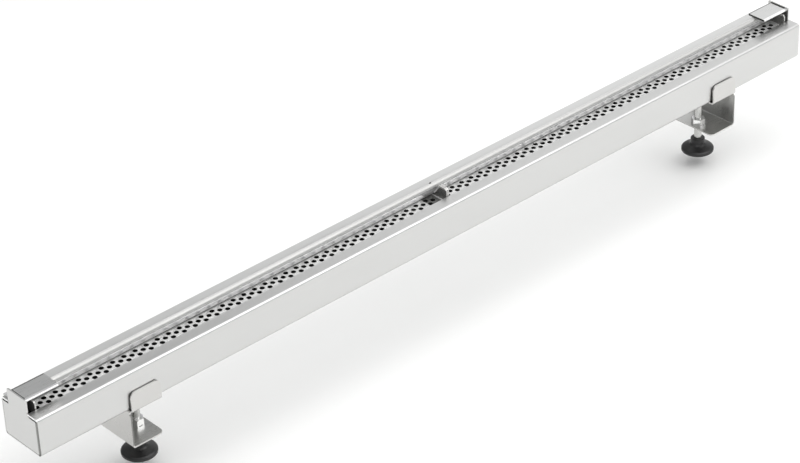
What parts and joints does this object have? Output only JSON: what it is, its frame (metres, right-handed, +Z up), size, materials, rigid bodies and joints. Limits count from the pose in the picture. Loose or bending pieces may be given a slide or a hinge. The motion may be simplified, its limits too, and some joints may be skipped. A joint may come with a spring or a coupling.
{
  "type": "channel drain",
  "caption": "Linear slot drain: long folded steel channel with end plates, slot rail, perforated strainers and saddle legs on screw-adjusted round feet.",
  "frame": {"origin": "middle of the drain's length and width on the floor that its two foot pads stand on", "axes": "+X along the channel from its left end to its right end, +Y from the front wall (wide flange) to the back wall (slot rail), +Z up"},
  "size_m": [1, 0.06, 0.1246],
  "materials": {
    "channel_sheet": "fine satin, drawn along the channel",
    "rail_sheet": "fine satin, drawn along the rail",
    "end_plate_sheet_left": "satin",
    "end_plate_sheet_right": "satin",
    "hood_sheet_left": "satin",
    "hood_sheet_right": "satin",
    "strainer_sheet_left": "mill-bright, punched",
    "strainer_sheet_right": "mill-bright, punched",
    "leg_sheet_left": "satin, ground at the folds",
    "leg_sheet_right": "satin, ground at the folds",
    "nut_steel_left": "bright turned steel",
    "nut_steel_right": "bright turned steel",
    "screw_steel_left": "bright rolled steel",
    "screw_steel_right": "bright rolled steel",
    "pad_plastic_left": "satin black moulding",
    "pad_plastic_right": "satin black moulding"
  },
  "bodies": {
    "drain": {"channel_body": "channel_sheet", "slot_rail": "rail_sheet", "end_plate_left": "end_plate_sheet_left", "end_plate_right": "end_plate_sheet_right", "end_hood_left": "hood_sheet_left", "end_hood_right": "hood_sheet_right", "strainer_left": "strainer_sheet_left", "strainer_right": "strainer_sheet_right", "saddle_leg_left": "leg_sheet_left", "saddle_leg_right": "leg_sheet_right", "weld_nut_left": "nut_steel_left", "weld_nut_right": "nut_steel_right"},
    "left_pad": {"foot_pad_left": "pad_plastic_left"},
    "left_screw": {"foot_screw_left": "screw_steel_left"},
    "right_pad": {"foot_pad_right": "pad_plastic_right"},
    "right_screw": {"foot_screw_right": "screw_steel_right"}
  },
  "joints": [
    {"name": "left_pad_slide", "type": "slide", "parent": "drain", "child": "left_pad", "axis": [0, 0, 1], "range_m": [-0.015, 0.008]},
    {"name": "left_screw_turn", "type": "hinge", "parent": "left_pad", "child": "left_screw", "pos_m": [-0.379, 0, 0.02], "axis": [0, 0, 1], "range_deg": [-4325, 2310]},
    {"name": "right_pad_slide", "type": "slide", "parent": "drain", "child": "right_pad", "axis": [0, 0, 1], "range_m": [-0.015, 0.008]},
    {"name": "right_screw_turn", "type": "hinge", "parent": "right_pad", "child": "right_screw", "pos_m": [0.373, 0, 0.02], "axis": [0, 0, 1], "range_deg": [-4325, 2310]}
  ],
  "couplings": [
    {"joint": "left_screw_turn", "follows": "left_pad_slide", "rad_per_m": 5026.5},
    {"joint": "right_screw_turn", "follows": "right_pad_slide", "rad_per_m": 5026.5}
  ]
}
